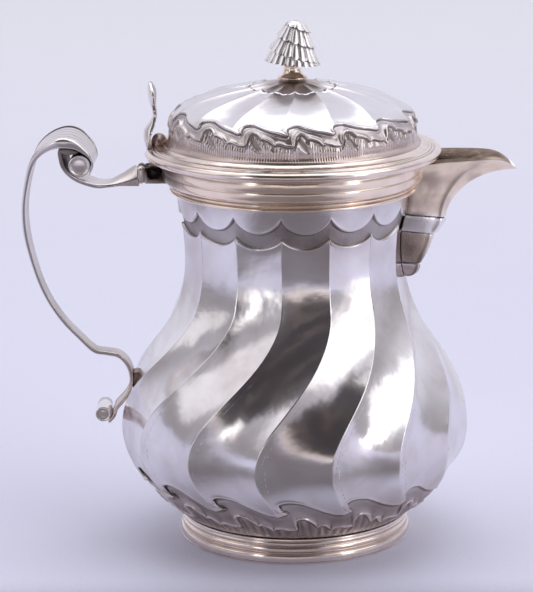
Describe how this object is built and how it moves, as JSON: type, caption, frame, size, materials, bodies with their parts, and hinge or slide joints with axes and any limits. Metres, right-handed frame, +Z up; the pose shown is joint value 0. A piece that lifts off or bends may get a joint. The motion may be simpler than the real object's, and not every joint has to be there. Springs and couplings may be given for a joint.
{
  "type": "covered silver jug",
  "caption": "Small covered jug with a pear-shaped body of twisted flutes on a ring foot, a beaked spout, a scrolled strap handle and a hinged domed lid with a bud finial",
  "frame": {"origin": "middle of the bounding box's underside: on the table, level with the underside of the foot ring, 7 mm from the body's own axis towards the handle", "axes": "+Z up, +X towards the spout, -X towards the handle, the hinge pin along Y"},
  "size_m": [0.1472, 0.1039, 0.1566],
  "materials": {
    "polished_silver": "polished silver, worn soft by cleaning",
    "tarnished_silver": "polished silver with warm brown tarnish in the hollows",
    "pin_metal": "plain drawn metal"
  },
  "bodies": {
    "jug": {"foot_ring": "tarnished_silver", "body_vessel": "polished_silver", "neck_collar": "tarnished_silver", "spout_beak": "tarnished_silver", "spout_band": "tarnished_silver", "spout_drop": "tarnished_silver", "spout_bead": "tarnished_silver", "handle_strap": "polished_silver", "handle_arm": "polished_silver", "handle_upper_roll": "tarnished_silver", "handle_lower_roll": "tarnished_silver", "handle_lug": "tarnished_silver", "hinge_block": "tarnished_silver", "hinge_pin": "pin_metal"},
    "lid": {"hinge_leaf": "tarnished_silver", "lid_flange": "tarnished_silver", "lid_dome": "polished_silver", "lid_bezel": "polished_silver", "thumbpiece": "polished_silver", "thumbpiece_brace": "tarnished_silver", "finial_stem": "tarnished_silver", "finial_bud": "polished_silver", "finial_stud": "pin_metal", "finial_washer": "pin_metal", "finial_nut": "pin_metal"}
  },
  "joints": [
    {"name": "lid_hinge", "type": "hinge", "parent": "jug", "child": "lid", "pos_m": [-0.03438, 0, 0.1122], "axis": [0, -1, 0], "range_deg": [0, 55]}
  ]
}
